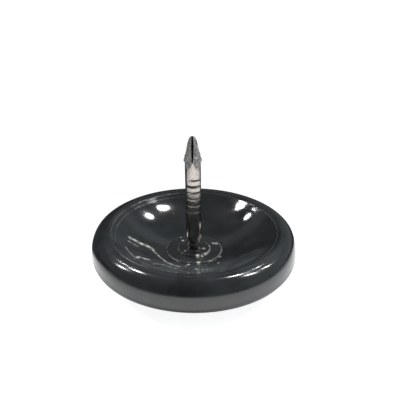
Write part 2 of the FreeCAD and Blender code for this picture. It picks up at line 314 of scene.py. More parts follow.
# %% The body's sizes in millimetres
GLIDE_RADIUS = 14.0
LIP_PLANE = 2.0
CREST = 6.8
CROWN_RADIUS = 2.1
FLANK_CROWN_RADIUS, FLANK_TURN, FLANK_FOOT = 1.9, 25.0, 4.0
SHOULDER_RADIUS = 1.5
DISH_LIP_RADIUS = 1.2
DISH_DEPTH = 3.77
BOSS_RADIUS, BOSS_HEIGHT = 3.85, 0.16
COLLAR_RADIUS, COLLAR_HEIGHT = 2.25, 0.18
STEP_ROUND = 0.1
RECESS_RADIUS, RECESS_DEPTH = 11.8, 0.8
LIP_ROUND = 0.3
DOME_DROP = 1.2
SHANK_RADIUS = 1.05
HEAD_RADIUS, HEAD_BASE, HEAD_TOP = 2.75, 1.75, 2.55
print("the body is", 2 * GLIDE_RADIUS, "mm across and", CREST - LIP_PLANE, "mm high")

# %% Sizes that follow from these
crest_radius = GLIDE_RADIUS - CROWN_RADIUS
dish_low = CREST - DISH_DEPTH
bowl_radius = (crest_radius ** 2 + DISH_DEPTH ** 2) / (2 * DISH_DEPTH) - DISH_LIP_RADIUS
bowl_centre = dish_low + bowl_radius
bowl_edge = math.degrees(math.asin(crest_radius / (bowl_radius + DISH_LIP_RADIUS)))
boss_foot = bowl_centre - math.sqrt(bowl_radius ** 2 - BOSS_RADIUS ** 2)
boss_top = boss_foot + BOSS_HEIGHT
collar_top = boss_top + COLLAR_HEIGHT
recess_top = LIP_PLANE + RECESS_DEPTH
flank_join = crest_radius + FLANK_CROWN_RADIUS * math.cos(math.radians(FLANK_TURN))
flank_radius = (GLIDE_RADIUS - flank_join) / (1 - math.cos(math.radians(FLANK_TURN)))
dome_radius = (RECESS_RADIUS ** 2 + DOME_DROP ** 2) / (2 * DOME_DROP)
dome_centre = recess_top - DOME_DROP + dome_radius
print("collar top at", round(collar_top, 3), "mm, bowl radius", round(bowl_radius, 3), "mm")


# %% Lines and arcs of a section
def line(start, end, count):
    """Points along a straight stretch, without its last one."""
    return [np.add(start, np.subtract(end, start) * step / count) for step in range(count)]


def arc(centre, size, first, last, count):
    """Points along an arc about a centre, by degrees from the outward level, without its last one."""
    turns = np.radians(first + (last - first) * np.arange(count) / count)
    return [(centre[0] + size * math.cos(turn), centre[1] + size * math.sin(turn)) for turn in turns]


def bowl_degrees(across, size):
    """Where a ball of that size is that far from its axis, by degrees, on its lower half."""
    return math.degrees(math.asin(across / size)) - 90


print("the bowl meets the steps at", round(bowl_degrees(BOSS_RADIUS, bowl_radius), 1), "degrees")


# %% The body's section
def body_section():
    """The whole section, as radius and height, from the bore outwards over the top and back below.

    The last number of each stretch is how many points it gets.
    """
    return np.array(
        line((SHANK_RADIUS, collar_top), (COLLAR_RADIUS - STEP_ROUND, collar_top), 12)
        + arc((COLLAR_RADIUS - STEP_ROUND, collar_top - STEP_ROUND), STEP_ROUND, 90, 0, 5)
        + line((COLLAR_RADIUS, collar_top - STEP_ROUND), (COLLAR_RADIUS, boss_top), 2)
        + line((COLLAR_RADIUS, boss_top), (BOSS_RADIUS - STEP_ROUND, boss_top), 18)
        + arc((BOSS_RADIUS - STEP_ROUND, boss_top - STEP_ROUND), STEP_ROUND, 90, 0, 5)
        + line((BOSS_RADIUS, boss_top - STEP_ROUND), (BOSS_RADIUS, boss_foot), 2)
        + arc((0, bowl_centre), bowl_radius, bowl_degrees(BOSS_RADIUS, bowl_radius), bowl_edge - 90, 112)
        + arc((crest_radius, CREST - DISH_LIP_RADIUS), DISH_LIP_RADIUS, 90 + bowl_edge, 90, 14)
        + arc((crest_radius, CREST - FLANK_CROWN_RADIUS), FLANK_CROWN_RADIUS, 90, FLANK_TURN, 22)
        + arc((GLIDE_RADIUS - flank_radius, FLANK_FOOT), flank_radius, FLANK_TURN, 0, 12)
        + line((GLIDE_RADIUS, FLANK_FOOT), (GLIDE_RADIUS, LIP_PLANE + SHOULDER_RADIUS), 2)
        + arc((GLIDE_RADIUS - SHOULDER_RADIUS, LIP_PLANE + SHOULDER_RADIUS), SHOULDER_RADIUS, 0, -90, 20)
        + line((GLIDE_RADIUS - SHOULDER_RADIUS, LIP_PLANE), (RECESS_RADIUS + LIP_ROUND, LIP_PLANE), 3)
        + arc((RECESS_RADIUS + LIP_ROUND, LIP_PLANE + LIP_ROUND), LIP_ROUND, 270, 180, 6)
        + line((RECESS_RADIUS, LIP_PLANE + LIP_ROUND), (RECESS_RADIUS, recess_top), 3)
        + arc((0, dome_centre), dome_radius, bowl_degrees(RECESS_RADIUS, dome_radius),
              bowl_degrees(HEAD_RADIUS, dome_radius), 14)
        + line((HEAD_RADIUS, dome_centre - math.sqrt(dome_radius ** 2 - HEAD_RADIUS ** 2)),
               (HEAD_RADIUS, HEAD_TOP), 2)
        + line((HEAD_RADIUS, HEAD_TOP), (SHANK_RADIUS, HEAD_TOP), 2)
        + line((SHANK_RADIUS, HEAD_TOP), (SHANK_RADIUS, collar_top), 2)
    )


section = body_section()
print("the section has", len(section), "points")

# %% [markdown]
# ## Moulding faults, wear and painted highlights in the dish
# Thick plastic sinks a little as it cools, so the dish has shallow waves, some hundredths of a
# millimetre deep, which bend the reflections. Where streams of plastic met in the mould they left low
# crooked ridges, with dents between. Their crests, the edges of the steps, lines on the lip and small
# chips are pale: partly wear, partly painted highlights and glints. Ridges and waves are real
# geometry, because gloss shows them from every side. The paleness is one number for each point,
# which the plastic's material reads.

# %% Sink waves
WAVE_COUNT = 14
WAVE_DEPTH = 0.006
WAVE_LENGTHS = (3.0, 9.0)
WAVE_FADES = (1.5, 2.0)
chance = np.random.default_rng(20)
wave_turns = chance.uniform(0, 2 * math.pi, WAVE_COUNT)
wave_lengths = chance.uniform(*WAVE_LENGTHS, WAVE_COUNT)
wave_starts = chance.uniform(0, 2 * math.pi, WAVE_COUNT)


def sink_waves(x, y):
    """Shallow waves over the dish, faded out before the steps and before the bead."""
    across = np.hypot(x, y)
    fade = np.clip((across - BOSS_RADIUS) / WAVE_FADES[0], 0, 1)
    fade *= np.clip((crest_radius - across) / WAVE_FADES[1], 0, 1)
    total = np.zeros_like(x)
    for turn, length, start in zip(wave_turns, wave_lengths, wave_starts):
        along = x * math.cos(turn) + y * math.sin(turn)
        total += np.sin(2 * math.pi * along / length + start) * length / WAVE_LENGTHS[1]
    return total * fade * WAVE_DEPTH


print("sink waves from", round(min(wave_lengths), 1), "to", round(max(wave_lengths), 1), "mm long")

# %% Routes of the flow marks
# Each mark has its route in x and y, its rise, the distance at which it has fallen to about a third,
# and how pale its crest is painted, as a painted highlight on the ridge. The last two are wide dents.
FLOW_ROUTES = (
    ([(-8.8, 0.1), (-7.95, -0.1), (-7.1, -0.33), (-6.3, -0.41), (-5.7, -0.86)], 0.05, 0.32, 1.0),
    ([(-8.9, -0.97), (-8.3, -1.19), (-7.66, -1.24)], 0.05, 0.2, 0.35),
    ([(-6.3, -0.41), (-5.7, -0.96), (-5.0, -2.0), (-4.3, -3.06), (-3.5, -4.13), (-2.7, -4.79),
      (-1.8, -5.16)], 0.05, 0.18, 0.6),
    ([(-9.1, -3.06), (-8.6, -4.12), (-7.94, -5.15), (-7.55, -5.86)], 0.04, 0.16, 0.3),
    ([(-7.4, -5.4), (-7.09, -4.59), (-6.43, -4.68), (-5.98, -4.55)], 0.05, 0.26, 0.8),
    ([(-5.3, -6.2), (-5.07, -5.52), (-4.27, -5.28), (-3.44, -5.48), (-2.1, -6.29)], 0.045, 0.16, 0.35),
    ([(-8.6, -2.0), (-7.6, -1.7), (-6.6, -1.9), (-5.8, -2.8)], -0.05, 0.7, 0.0),
    ([(-7.3, -3.6), (-6.2, -3.7), (-5.2, -4.3)], -0.03, 0.45, 0.0),
)


def bell(apart, width):
    """A smooth hump, 1 in the middle and about a third at that width."""
    return np.exp(-(apart / width) ** 2)


def from_route(x, y, route):
    """How far each point is from a route of straight runs."""
    apart = np.full_like(x, np.inf)
    for (x0, y0), (x1, y1) in zip(route, route[1:]):
        size = math.hypot(x1 - x0, y1 - y0)
        share = np.clip(((x - x0) * (x1 - x0) + (y - y0) * (y1 - y0)) / size ** 2, 0, 1)
        apart = np.minimum(apart, np.hypot(x - x0 - share * (x1 - x0), y - y0 - share * (y1 - y0)))
    return apart


print(len(FLOW_ROUTES), "flow marks, up to", max(mark[1] for mark in FLOW_ROUTES), "mm high")

# %% Heights of the flow marks
LUMP_MIDDLE, LUMP_REACH, LUMP_DEPTH = (-5.4, -4.6), 2.4, 0.007
LUMP_WAVES = ((4.1, 1.3), (2.2, -4.7), (3.1, 3.7))


def flow_marks(x, y):
    """Ridges and dents where the plastic's streams met, and small lumps between the ridges."""
    total = np.zeros_like(x)
    for route, rise, width, _ in FLOW_ROUTES:
        total += rise * bell(from_route(x, y, route), width)
    reach = bell(np.hypot(x - LUMP_MIDDLE[0], y - LUMP_MIDDLE[1]), LUMP_REACH)
    total += LUMP_DEPTH * reach * sum(np.sin(a * x + b * y) for a, b in LUMP_WAVES)
    return total


print("lumps", LUMP_DEPTH, "mm deep within", LUMP_REACH, "mm")

# %% Places that are pale, from wear and painted highlights
# Each ring has its radius, its width, how pale it is, and the turn of its middle and its reach in
# degrees, from the right. Each chip has its place in x and y, its size, and how pale it is. The rings
# on the lip and the bright chips are painted highlights and glints more than wear.
WORN_AND_HIGHLIGHT_RINGS = (
    (2.2, 0.07, 0.7, -10, 50), (2.2, 0.06, 0.18, 170, 60), (3.8, 0.07, 0.22, 185, 60),
    (3.8, 0.07, 0.3, -5, 40), (11.27, 0.05, 0.2, 150, 45), (10.75, 0.05, 0.16, 150, 40),
    (11.3, 0.05, 0.14, -75, 95), (11.27, 0.05, 0.13, 40, 40), (11.65, 0.06, 0.45, -132, 12),
)
CHIPS_AND_GLINTS = (
    (-0.7, -3.97, 0.16, 1.0), (0.63, -3.64, 0.2, 1.0), (0.31, -5.83, 0.14, 0.9), (0.59, -9.3, 0.12, 0.6),
    (-1.6, 2.2, 0.13, 0.8), (-1.9, 3.1, 0.12, 0.4), (1.3, -0.25, 0.2, 0.55), (0.5, -2.1, 0.2, 1.0),
    (1.55, -1.55, 0.15, 0.9), (1.1, -2.05, 0.13, 0.8), (-1.05, -4.6, 0.12, 0.5), (3.3, -3.9, 0.14, 0.5),
    (3.1, 1.45, 0.22, 0.4), (2.7, 1.5, 0.2, 0.4), (3.5, -1.9, 0.2, 0.35), (-1.2, -0.9, 0.15, 0.5),
)
print(len(WORN_AND_HIGHLIGHT_RINGS), "worn stretches of edges and", len(CHIPS_AND_GLINTS), "chips")

# %% How pale each point is painted, as wear and highlight
CREST_SHARE = 0.7
DASH_MIDDLE, DASH_SWING, DASH_LEAST = 0.65, 0.6, 0.3
PATCH_MIDDLE, PATCH_ROUND_SWING, PATCH_ACROSS_SWING, PATCH_LEAST = 0.55, 0.35, 0.5, 0.05


def pale_wear_and_highlights(x, y):
    """How pale each point is: along the flow marks, on the edges, and at chips.

    The sines break each line into dashes and patches; their odd numbers keep these from repeating.
    """
    across, turn = np.hypot(x, y), np.degrees(np.arctan2(y, x))
    dashes = DASH_MIDDLE + DASH_SWING * np.sin(5.6 * x - 3.9 * y) * np.sin(3.7 * y + 1.8 * x)
    dashes = np.clip(dashes, DASH_LEAST, 1)
    pale = np.zeros_like(x)
    for route, _, width, share in FLOW_ROUTES:
        pale = np.maximum(pale, share * dashes * bell(from_route(x, y, route), CREST_SHARE * width))
    round_waves = np.sin(np.radians(5 * turn + 40)) * np.sin(np.radians(2 * turn))
    patches = PATCH_MIDDLE + PATCH_ROUND_SWING * round_waves
    patches += PATCH_ACROSS_SWING * np.sin(6.3 * x + 2.1 * y + 0.5) * np.sin(5.2 * y - 3.3 * x)
    patches = np.clip(patches, PATCH_LEAST, 1)
    for radius, width, share, middle, reach in WORN_AND_HIGHLIGHT_RINGS:
        near_middle = bell((turn - middle + 180) % 360 - 180, reach)
        pale = np.maximum(pale, share * patches * near_middle * bell(across - radius, width))
    for chip_x, chip_y, size, share in CHIPS_AND_GLINTS:
        pale = np.maximum(pale, share * bell(np.hypot(x - chip_x, y - chip_y), size))
    return pale


print("dashes along the crests keep at least", DASH_LEAST, "of their paleness")

# %% Turn the body
ROUND_STEPS = 380
body_turns = 2 * math.pi * np.arange(ROUND_STEPS) / ROUND_STEPS
body_points = np.empty((len(section), ROUND_STEPS, 3))
body_points[..., 0] = section[:, :1] * np.cos(body_turns)
body_points[..., 1] = section[:, :1] * np.sin(body_turns)
body_points[..., 2] = section[:, 1:]
on_top = np.arange(len(section)) < int(np.argmax(section[:, 0] >= crest_radius))
top_x, top_y = body_points[on_top, :, 0], body_points[on_top, :, 1]
body_points[on_top, :, 2] += sink_waves(top_x, top_y) + flow_marks(top_x, top_y)
body = new_piece("glide_body_moulded", body_points.reshape(-1, 3),
                 quad_grid(len(section), ROUND_STEPS, closed_rows=True)[:, ::-1],
                 polypropylene, "glide_body")
# Paleness from wear and painted highlights, for the material to mix into the colour.
body_wear_and_highlights = np.zeros(body_points.shape[:2])
body_wear_and_highlights[on_top] = pale_wear_and_highlights(top_x, top_y)
set_values(body, "wear_and_highlight", body_wear_and_highlights)

# %% [markdown]
# ## Drawn steel wire
# The nail is cut from bright drawn wire. Drawing leaves faint lines along it, and rolling about with
# other nails dulls it, so it mirrors its surroundings softly: pale where it sees the floor, black
# where it sees the dish. The cut facets of the point are torn and matt. The slit and the ring marks
# are painted dark, as painted shade, and the lower shank is painted darker towards the bottom. Three
# numbers for each point of the mesh say how dark it is painted there, and whether the steel is cut or
# rubbed. Drawn lines are thinner than a hair in fact, and coarser here.

# %% Lines and grain of the wire
DRAW_LINE_WIDTH, DRAW_LINE_LENGTH = 0.12, 3.0
GRAIN_SIZE, TORN_SIZE = 0.25, 0.35
steel, wire = new_material("bright_drawn_steel_wire")
wire_place = add(wire, "ShaderNodeTexCoord").outputs["Object"]
wire_mm = add(wire, "ShaderNodeVectorMath", {0: wire_place, "Scale": 1 / MM},
              operation="SCALE").outputs["Vector"]
stretch = (1 / DRAW_LINE_WIDTH, 1 / DRAW_LINE_WIDTH, 1 / DRAW_LINE_LENGTH)
along_wire = add(wire, "ShaderNodeVectorMath", {0: wire_mm, 1: stretch},
                 operation="MULTIPLY").outputs["Vector"]
draw_lines = add(wire, "ShaderNodeTexNoise", {
    "Vector": along_wire, "Scale": 1.0, "Detail": 3.0}).outputs["Fac"]
grain = add(wire, "ShaderNodeTexNoise", {
    "Vector": wire_mm, "Scale": 1 / GRAIN_SIZE, "Detail": 4.0}).outputs["Fac"]
torn = add(wire, "ShaderNodeTexNoise", {
    "Vector": wire_mm, "Scale": 1 / TORN_SIZE, "Detail": 4.0}).outputs["Fac"]
painted_dark_share = add(wire, "ShaderNodeAttribute", attribute_name="painted_dark").outputs["Fac"]
cut_steel = add(wire, "ShaderNodeAttribute", attribute_name="cut").outputs["Fac"]
rubbed_steel = add(wire, "ShaderNodeAttribute", attribute_name="rubbed").outputs["Fac"]
print("started", steel.name)

# %% The wire's colour
BRIGHT_RANGE, BRIGHT_GREYS = (0.3, 0.7), ("#8f8883", "#bcb5b1")
TORN_RANGE, TORN_GREYS = (0.36, 0.64), ("#8f8b88", "#d9d5d1")
# Colour of the painted dark: painted shade in the slit and ring marks, and the darker lower shank.
PAINTED_DARK_BLACK, PAINTED_DARK_SPREAD = "#17191c", 0.3
bright = add(wire, "ShaderNodeValToRGB", {"Fac": grain})
facets = add(wire, "ShaderNodeValToRGB", {"Fac": torn})
for ramp, places, greys in ((bright, BRIGHT_RANGE, BRIGHT_GREYS), (facets, TORN_RANGE, TORN_GREYS)):
    for stop, place, grey in zip(ramp.color_ramp.elements, places, greys):
        stop.position = place
        stop.color = linear(grey)
sheared = add(wire, "ShaderNodeMix", {
    "Factor": cut_steel, "A": bright.outputs["Color"], "B": facets.outputs["Color"]},
    data_type="RGBA").outputs["Result"]
painted_dark_spread = add(wire, "ShaderNodeMath", {0: grain, 1: PAINTED_DARK_SPREAD, 2: -PAINTED_DARK_SPREAD / 2},
                  operation="MULTIPLY_ADD").outputs["Value"]
patchy_painted_dark = add(wire, "ShaderNodeMath", {0: painted_dark_share, 1: painted_dark_spread}, operation="ADD",
                  use_clamp=True).outputs["Value"]
wire_colour = add(wire, "ShaderNodeMix", {
    "Factor": patchy_painted_dark, "A": sheared, "B": linear(PAINTED_DARK_BLACK)}, data_type="RGBA").outputs["Result"]
print("bright steel from", BRIGHT_GREYS[0], "to", BRIGHT_GREYS[1])

# %% The wire's roughness and relief, and the finished steel
# Drawn steel has a roughness of about 0.1 to 0.3, and torn or rubbed steel one above 0.5.
DRAWN_ROUGHNESS, MATT_ROUGHNESS = (0.11, 0.24), 0.4
LINE_DEPTH, LINE_STRENGTH = 0.006, 0.7
GRAIN_DEPTH, TORN_DEPTH = 0.008, 0.03
drawn_rough = add(wire, "ShaderNodeMapRange", {
    "Value": grain, "From Min": BRIGHT_RANGE[0], "From Max": BRIGHT_RANGE[1],
    "To Min": DRAWN_ROUGHNESS[0], "To Max": DRAWN_ROUGHNESS[1]}).outputs["Result"]
matt = add(wire, "ShaderNodeMath", {0: cut_steel, 1: rubbed_steel}, operation="MAXIMUM").outputs["Value"]
wire_rough = add(wire, "ShaderNodeMath", {0: matt, 1: MATT_ROUGHNESS, 2: drawn_rough},
                 operation="MULTIPLY_ADD").outputs["Value"]
lined = add(wire, "ShaderNodeBump", {
    "Height": draw_lines, "Distance": LINE_DEPTH * MM, "Strength": LINE_STRENGTH}).outputs["Normal"]
grained = add(wire, "ShaderNodeBump", {
    "Height": grain, "Distance": GRAIN_DEPTH * MM, "Normal": lined}).outputs["Normal"]
tears = add(wire, "ShaderNodeMath", {0: torn, 1: cut_steel}, operation="MULTIPLY").outputs["Value"]
wire_relief = add(wire, "ShaderNodeBump", {
    "Height": tears, "Distance": TORN_DEPTH * MM, "Normal": grained}).outputs["Normal"]
wire_surface = add(wire, "ShaderNodeBsdfPrincipled", {
    "Base Color": wire_colour, "Metallic": 1.0, "Roughness": wire_rough, "Normal": wire_relief})
add(wire, "ShaderNodeOutputMaterial", {"Surface": wire_surface.outputs["BSDF"]})
print("made", steel.name, "of", len(wire.nodes), "nodes")

# %% [markdown]
# ## The wire nail
# A nail machine grips the wire in ribbed dies, which leaves ring marks, strikes the head, and pinches
# the point between cutters, which leaves four facets, a slit in the front and back ridges and small
# barbs where the metal was squeezed out. The nail is a wall whose distance from the axis is worked
# out for each angle and height: the wire, or the nearest facet where that is closer, less the slit
# and the marks, plus the barbs. Cutting a solid with tools would give the same form, but not one even
# grid of points that can carry the painted dark. The real nail also leans by about a degree, so the
# wall is shifted a little as it rises.

# %% The nail's sizes in millimetres
NAIL_TIP = 20.25
# The point's facets: heights, and how far a facet is from the axis there.
POINT_PROFILE = ((15.85, 1.05), (16.5, 0.87), (17.2, 0.745), (17.8, 0.67), (18.35, 0.59), (19.3, 0.47),
                 (19.8, 0.37), (20.1, 0.28), (20.25, 0.2))
SLIT_HALF, SLIT_CORE_HALF, SLIT_LENGTH = 0.15, 0.1, 3.3
HEAD_ROWS, HEAD_EDGE = 4, 0.06
slit_foot = NAIL_TIP - SLIT_LENGTH
print("the nail stands", round(NAIL_TIP - collar_top, 2), "mm out of the collar")

# %% Angles and heights of the nail's wall
SLIT_ZONE = 26
COARSE_STEP, ROW_STEP = 2.5, 0.05
coarse = np.arange(0, 360, COARSE_STEP)
fine = np.concatenate([np.arange(-SLIT_ZONE, SLIT_ZONE + 1) + side for side in (90, 270)])
apart_from_slit = np.abs(coarse % 180 - 90)
nail_turns = np.radians(np.sort(np.concatenate([coarse[apart_from_slit > SLIT_ZONE], fine])))
nail_rows = np.concatenate([[HEAD_BASE, HEAD_BASE + HEAD_EDGE, HEAD_TOP - HEAD_EDGE, HEAD_TOP, HEAD_TOP],
                            np.arange(HEAD_TOP + ROW_STEP, NAIL_TIP, ROW_STEP), [NAIL_TIP]])
height, turn = np.meshgrid(nail_rows, nail_turns, indexing="ij")
print("the nail's wall has", len(nail_turns), "angles and", len(nail_rows), "heights")

# %% Wire, facets and slit
CUT_EDGE = 0.03
facet_turn = turn % (math.pi / 2) - math.pi / 4
facet = np.interp(height, *zip(*POINT_PROFILE)) / np.cos(facet_turn)
cut = np.clip((SHANK_RADIUS - facet) / CUT_EDGE, 0, 1)
wall = np.minimum(SHANK_RADIUS, facet)
slit_turn = turn % math.pi - math.pi / 2
slit_rise = (height - slit_foot) / SLIT_LENGTH
slit_floor = (SHANK_RADIUS + (SLIT_CORE_HALF - SHANK_RADIUS) * slit_rise) / np.cos(slit_turn)
in_slit = (np.abs(wall * np.sin(slit_turn)) < SLIT_HALF) & (slit_rise > 0)
# The slit is painted black, as painted shade.
painted_dark = np.where(in_slit & (slit_floor < wall), 1.0, 0.0)
wall = np.where(in_slit, np.minimum(wall, slit_floor), wall)
print("the facets take", int((cut > 0).sum()), "points and the slit", int(painted_dark.sum()))

# %% Ring marks of the dies
POINT_RINGS, RING_START = 6, 5.85
ROOT_RINGS = 2
RING_PITCH, RING_WIDTH, ROOT_RING_WIDTH, RING_DEPTH = 0.93, 0.3, 0.56, 0.08
RING_LEAST, RING_PAINTED_SHADE = 0.25, 0.9
PART_RING_MIDDLE, PART_RING_REACH = math.radians(-60), 0.7
NOISE_ORDERS, NOISE_SWING = 4, 0.35


def slow_noise(turn, seed):
    """A smooth number from 0 to 1 that varies round the nail."""
    draws = np.random.default_rng(seed).uniform(0, 2 * math.pi, NOISE_ORDERS)
    total = sum(np.sin((order + 1) * turn + draw) / (order + 1) for order, draw in enumerate(draws))
    return np.clip(0.5 + NOISE_SWING * total, 0, 1)


rings = [(NAIL_TIP - RING_START - RING_PITCH * ring, RING_WIDTH) for ring in range(POINT_RINGS)]
rings += [(collar_top + ROOT_RING_WIDTH / 2 + RING_PITCH * ring, ROOT_RING_WIDTH)
          for ring in range(ROOT_RINGS)]
for seed, (middle, width) in enumerate(rings):
    strength = RING_LEAST + (1 - RING_LEAST) * slow_noise(turn, seed)
    if seed == 0:  # the mark nearest the point goes only part of the way round
        strength = bell((turn - PART_RING_MIDDLE + math.pi) % (2 * math.pi) - math.pi, PART_RING_REACH)
    groove = np.clip(1 - ((height - middle) / (width / 2)) ** 2, 0, 1) * strength
    wall -= RING_DEPTH * groove
    # The ring grooves are painted dark, deepest at their bottoms, as painted shade.
    painted_dark = np.maximum(painted_dark, RING_PAINTED_SHADE * groove ** 3)
print(len(rings), "ring marks, up to", RING_DEPTH, "mm deep")

# %% Barbs and head
# Each barb has its height, its turn in degrees from the right, how far it stands out, and its spread
# downwards and upwards.
BARBS = ((16.85, 0, 0.15, 0.14, 0.55), (16.85, 180, 0.15, 0.14, 0.55),
         (17.75, 0, 0.09, 0.07, 0.3), (17.6, 180, 0.06, 0.07, 0.3))
BARB_WIDTH = 9
for middle, compass, reach, below, above in BARBS:
    hump = bell(height - middle, np.where(height < middle, below, above))
    aside = (np.degrees(turn) - compass + 180) % 360 - 180
    wall += reach * hump * bell(aside, BARB_WIDTH)
wall[:HEAD_ROWS] = HEAD_RADIUS
wall[[0, HEAD_ROWS - 1]] -= HEAD_EDGE
print(len(BARBS), "barbs, and a head", 2 * HEAD_RADIUS, "mm across")

# %% [markdown]
# ### A darker lower shank
# The lower shank is painted darker towards the bottom, near the dish. A few rubbed patches are
# matt and keep the bright colour. Both are numbers on the points, so they stay with the nail from
# every side.

# %% A darker lower shank, and rubbed patches
# Each patch has its turn from the right and its reach in degrees, its height and spread, and how
# strongly it is rubbed.
RUBS = ((-64, 8, 5.2, 0.8, 1.0), (-52, 14, 8.2, 1.8, 0.55), (-132, 7, 5.1, 0.4, 1.0),
        (-130, 7, 4.4, 0.25, 0.9))
LOW_DARK_TOP, LOW_DARK_FADE, LOW_DARK_SHARE = 9.6, 0.8, 0.45
rubbed = np.zeros_like(height)
for compass, reach, middle, tall, share in RUBS:
    aside = (np.degrees(turn) - compass + 180) % 360 - 180
    rubbed = np.maximum(rubbed, share * bell(aside, reach) * bell(height - middle, tall))
# The shank is painted darker towards the bottom, less so where it is rubbed.
low_dark = LOW_DARK_SHARE * np.clip((LOW_DARK_TOP - height) / LOW_DARK_FADE, 0, 1)
painted_dark = np.maximum(painted_dark, low_dark * (1 - rubbed))
print("soap up to", LOW_DARK_TOP, "mm, with", len(RUBS), "rubbed patches")

# %% Build the nail
LEAN_DEGREES = -0.98
SHARP_DEGREES = 35
lean = math.tan(math.radians(LEAN_DEGREES)) * np.clip(height - collar_top, 0, None)
nail_points = np.stack([wall * np.cos(turn) + lean, wall * np.sin(turn), height], axis=-1)
nail = new_piece("wire_nail", nail_points.reshape(-1, 3), capped_grid(len(nail_rows), len(nail_turns)),
                 steel, "nail")
nail.data.set_sharp_from_angle(angle=math.radians(SHARP_DEGREES))
set_values(nail, "painted_dark", painted_dark)
set_values(nail, "cut", cut)
set_values(nail, "rubbed", rubbed)

# %% [markdown]
# ## Needle-punched felt
# The pad is coarse felt of black, grey and white synthetic fibres that barbed needles have tangled.
# The eye gets curled fibres of mixed shades, with no gloss, and a fuzzy edge. A bump could give the
# speckle but not the fuzz, so there is a lumpy mat and, on it, thousands of short curled fibres. A
# real fibre is about 0.03 mm thick; here they are drawn coarser, as thick as they need to be to show.

# %% The felt's material
# Each fibre's shade goes from 0, black, to 1, white. Textile fibre has an IOR of about 1.5 and no
# polish, and the sheen stands for the fuzz that is too fine to model.
FIBRE_SHADES = ((0.4, "#303236"), (0.65, "#75787b"), (0.85, "#b9bbbc"))
FIBRE_BLACK, FIBRE_WHITE = "#141517", "#ecece8"
felt, felt_tree = new_material("needle_punched_felt")
shade_of_fibre = add(felt_tree, "ShaderNodeAttribute", attribute_name="shade").outputs["Fac"]
shades = add(felt_tree, "ShaderNodeValToRGB", {"Fac": shade_of_fibre})
shade_stops = shades.color_ramp.elements
shade_stops[0].color = linear(FIBRE_BLACK)
shade_stops[1].color = linear(FIBRE_WHITE)
for position, code in FIBRE_SHADES:
    shade_stops.new(position).color = linear(code)
felt_surface = add(felt_tree, "ShaderNodeBsdfPrincipled", {
    "Base Color": shades.outputs["Color"], "Roughness": 0.85, "IOR": 1.45, "Sheen Weight": 0.25,
    "Sheen Roughness": 0.5})
add(felt_tree, "ShaderNodeOutputMaterial", {"Surface": felt_surface.outputs["BSDF"]})
print("made", felt.name, "with", len(shade_stops), "shades")

# %% The felt's sizes in millimetres
FELT_RADIUS = 11.7
FELT_FLAT_RADIUS = 8.0
FELT_WALL_FOOT = 1.9
GLUE_LINE = 0.05
felt_edge_round = ((FELT_RADIUS - FELT_FLAT_RADIUS) ** 2 + FELT_WALL_FOOT ** 2) / (2 * FELT_WALL_FOOT)
felt_bed_radius = dome_radius + GLUE_LINE


def felt_low(across):
    """Height of the felt's underside at a distance from the axis."""
    out = np.clip(across - FELT_FLAT_RADIUS, 0, FELT_RADIUS - FELT_FLAT_RADIUS)
    return felt_edge_round - np.sqrt(felt_edge_round ** 2 - out ** 2)


def felt_high(across):
    """Height of the glued top of the felt, which follows the swelling of the body's underside."""
    return dome_centre - np.sqrt(felt_bed_radius ** 2 - across ** 2)


print("the felt is", round(felt_high(0) - felt_low(0), 2), "mm thick in the middle")

# %% The felt mat
MAT_RINGS, MAT_WALL_ROWS, MAT_TOP_RINGS, MAT_STEPS = 60, 2, 12, 200
MAT_INNER, MAT_INSET, MAT_SINK = 0.1, 0.08, 0.14
MAT_LUMP = 0.05
MAT_SHADES = (0.0, 0.4)
mat_outer = FELT_RADIUS - MAT_INSET
mat_turns = 2 * math.pi * np.arange(MAT_STEPS) / MAT_STEPS
mat_across = np.concatenate([np.linspace(MAT_INNER, mat_outer, MAT_RINGS), [mat_outer] * MAT_WALL_ROWS,
                             np.linspace(mat_outer, MAT_INNER, MAT_TOP_RINGS)])
under = np.arange(len(mat_across)) < MAT_RINGS
mat_heights = np.where(under, felt_low(mat_across) + MAT_SINK, felt_high(mat_across))
mat_wall = np.linspace(mat_heights[MAT_RINGS - 1], felt_high(FELT_RADIUS), MAT_WALL_ROWS + 2)
mat_heights[MAT_RINGS:MAT_RINGS + MAT_WALL_ROWS] = mat_wall[1:-1]
mat_x = mat_across[:, None] * np.cos(mat_turns)
mat_y = mat_across[:, None] * np.sin(mat_turns)
# Crossed sines make lumps a few millimetres wide; their odd numbers keep them from repeating.
lumps = MAT_LUMP * (np.sin(5.1 * mat_x + 2.3 * mat_y) * np.sin(4.3 * mat_y - 1.7 * mat_x)
                    + np.sin(2.1 * mat_x - 3.3 * mat_y))
mat_z = mat_heights[:, None] + np.where(under[:, None], lumps, 0)
mat_points = np.stack([mat_x, mat_y, mat_z], axis=-1)
mat = new_piece("felt_mat", mat_points.reshape(-1, 3), capped_grid(len(mat_across), MAT_STEPS),
                felt, "felt_pad")
set_values(mat, "shade", chance.uniform(*MAT_SHADES, mat_z.size))

# %% Where each fibre runs
FIBRE_POINTS = 5
FIBRE_RADIUS = (0.04, 0.075)
SHADE_LEAN = (1.0, 1.15)
MIDDLE_INSET, RIM_INSET, FLOOR_GAP = 0.05, 0.02, 0.005
STEEPEST = 0.95


